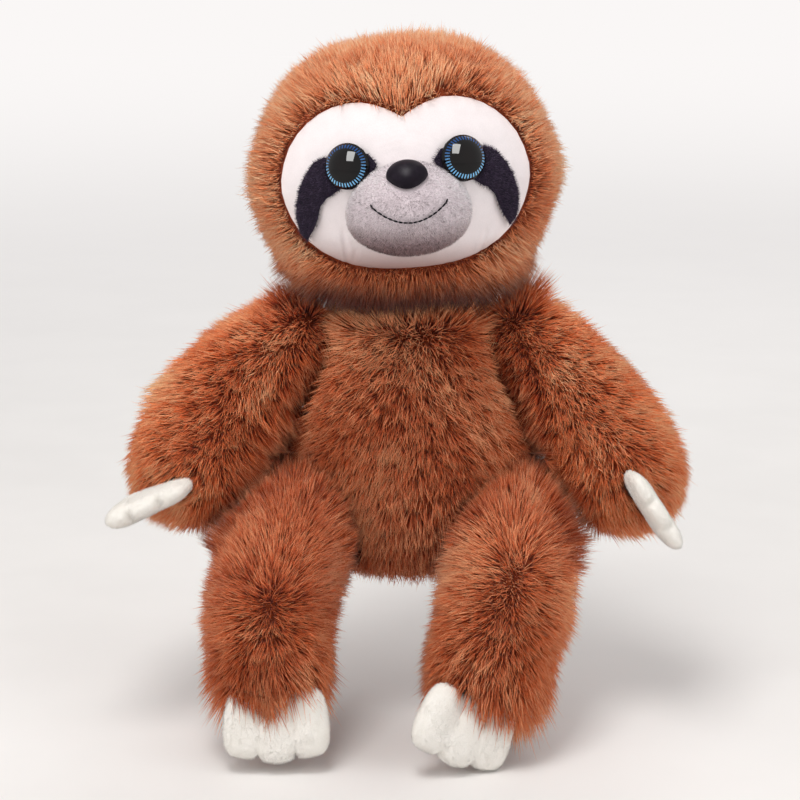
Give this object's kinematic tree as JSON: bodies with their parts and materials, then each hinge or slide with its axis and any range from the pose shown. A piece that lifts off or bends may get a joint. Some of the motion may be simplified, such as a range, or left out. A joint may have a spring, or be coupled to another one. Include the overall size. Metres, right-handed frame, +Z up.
{
  "type": "plush sloth",
  "caption": "Seated plush sloth with a long-pile body, a head that turns and nods, swinging arms and legs, stuffed claws, safety eyes and a stitched smile.",
  "frame": {"origin": "middle of the flat underside that the toy sits on", "axes": "+Z up from the seat to the crown, -Y is the way the face looks, +X is the toy's own left"},
  "size_m": [0.3146, 0.2047, 0.375],
  "materials": {
    "plush": "long brown pile about 12 mm deep on a knitted backing",
    "white_pile": "very short white velboa pile",
    "grey_pile": "short grey pile",
    "dark_fleece": "near-black fleece, its edge sewn with zigzag stitches",
    "cream_pile": "short cream pile",
    "filling": "loose white polyester fibre",
    "eye_dome": "clear, polished dome over a dark iris with light blue dashes",
    "eye_backing": "black moulded disc and shank",
    "washer": "white moulded ring",
    "nose": "satin charcoal",
    "thread": "black sewing thread"
  },
  "bodies": {
    "torso": {"torso_cover": "plush", "torso_filling": "filling"},
    "neck": {"neck_filling": "filling"},
    "head": {"face_panel": "white_pile", "head_cover": "plush", "head_filling": "filling", "left_eye_backing": "eye_backing", "left_eye_lens": "eye_dome", "left_eye_patch": "dark_fleece", "left_eye_washer": "washer", "mouth_stitch": "thread", "muzzle_cover": "grey_pile", "muzzle_filling": "filling", "nose": "nose", "nose_washer": "washer", "right_eye_backing": "eye_backing", "right_eye_lens": "eye_dome", "right_eye_patch": "dark_fleece", "right_eye_washer": "washer"},
    "right_arm": {"right_arm_cover": "plush", "right_arm_filling": "filling"},
    "right_hand_claws": {"right_hand_claws": "cream_pile"},
    "right_leg": {"right_leg_cover": "plush", "right_leg_filling": "filling"},
    "right_foot_claws": {"right_foot_claws": "cream_pile"},
    "left_arm": {"left_arm_cover": "plush", "left_arm_filling": "filling"},
    "left_hand_claws": {"left_hand_claws": "cream_pile"},
    "left_leg": {"left_leg_cover": "plush", "left_leg_filling": "filling"},
    "left_foot_claws": {"left_foot_claws": "cream_pile"}
  },
  "joints": [
    {"name": "neck_turn", "type": "hinge", "parent": "torso", "child": "neck", "pos_m": [0, 0, 0.154], "axis": [0, 0, 1], "range_deg": [-30, 30], "stiffness_Nm_per_rad": 1},
    {"name": "head_nod", "type": "hinge", "parent": "neck", "child": "head", "pos_m": [0, 0, 0.154], "axis": [1, 0, 0], "range_deg": [-12, 12], "stiffness_Nm_per_rad": 2},
    {"name": "right_shoulder", "type": "hinge", "parent": "torso", "child": "right_arm", "pos_m": [-0.065, 0, 0.128], "axis": [-0.9613, 0, 0.2756], "range_deg": [-30, 60], "stiffness_Nm_per_rad": 0.6},
    {"name": "right_hip", "type": "hinge", "parent": "torso", "child": "right_leg", "pos_m": [-0.056, -0.03, 0.035], "axis": [1, 0, 0], "range_deg": [-20, 15], "stiffness_Nm_per_rad": 0.6},
    {"name": "right_hand_flex", "type": "hinge", "parent": "right_arm", "child": "right_hand_claws", "pos_m": [-0.13745, -0.05257, 0.05178], "axis": [-0.8988, 0.1297, -0.4187], "range_deg": [-15, 15], "stiffness_Nm_per_rad": 0.02},
    {"name": "right_foot_flex", "type": "hinge", "parent": "right_leg", "child": "right_foot_claws", "pos_m": [-0.07181, -0.11817, -0.04177], "axis": [0.9998, 0.0044, 0.0195], "range_deg": [-15, 15], "stiffness_Nm_per_rad": 0.02},
    {"name": "left_shoulder", "type": "hinge", "parent": "torso", "child": "left_arm", "pos_m": [0.061, 0, 0.128], "axis": [0.9613, 0, 0.2756], "range_deg": [-60, 30], "stiffness_Nm_per_rad": 0.6},
    {"name": "left_hip", "type": "hinge", "parent": "torso", "child": "left_leg", "pos_m": [0.054, -0.03, 0.035], "axis": [1, 0, 0], "range_deg": [-20, 15], "stiffness_Nm_per_rad": 0.6},
    {"name": "left_hand_flex", "type": "hinge", "parent": "left_arm", "child": "left_hand_claws", "pos_m": [0.12591, -0.05588, 0.04841], "axis": [0.5357, 0.0366, -0.8436], "range_deg": [-15, 15], "stiffness_Nm_per_rad": 0.02},
    {"name": "left_foot_flex", "type": "hinge", "parent": "left_leg", "child": "left_foot_claws", "pos_m": [0.03095, -0.11952, -0.04428], "axis": [0.8684, 0.274, -0.4133], "range_deg": [-15, 15], "stiffness_Nm_per_rad": 0.02}
  ]
}
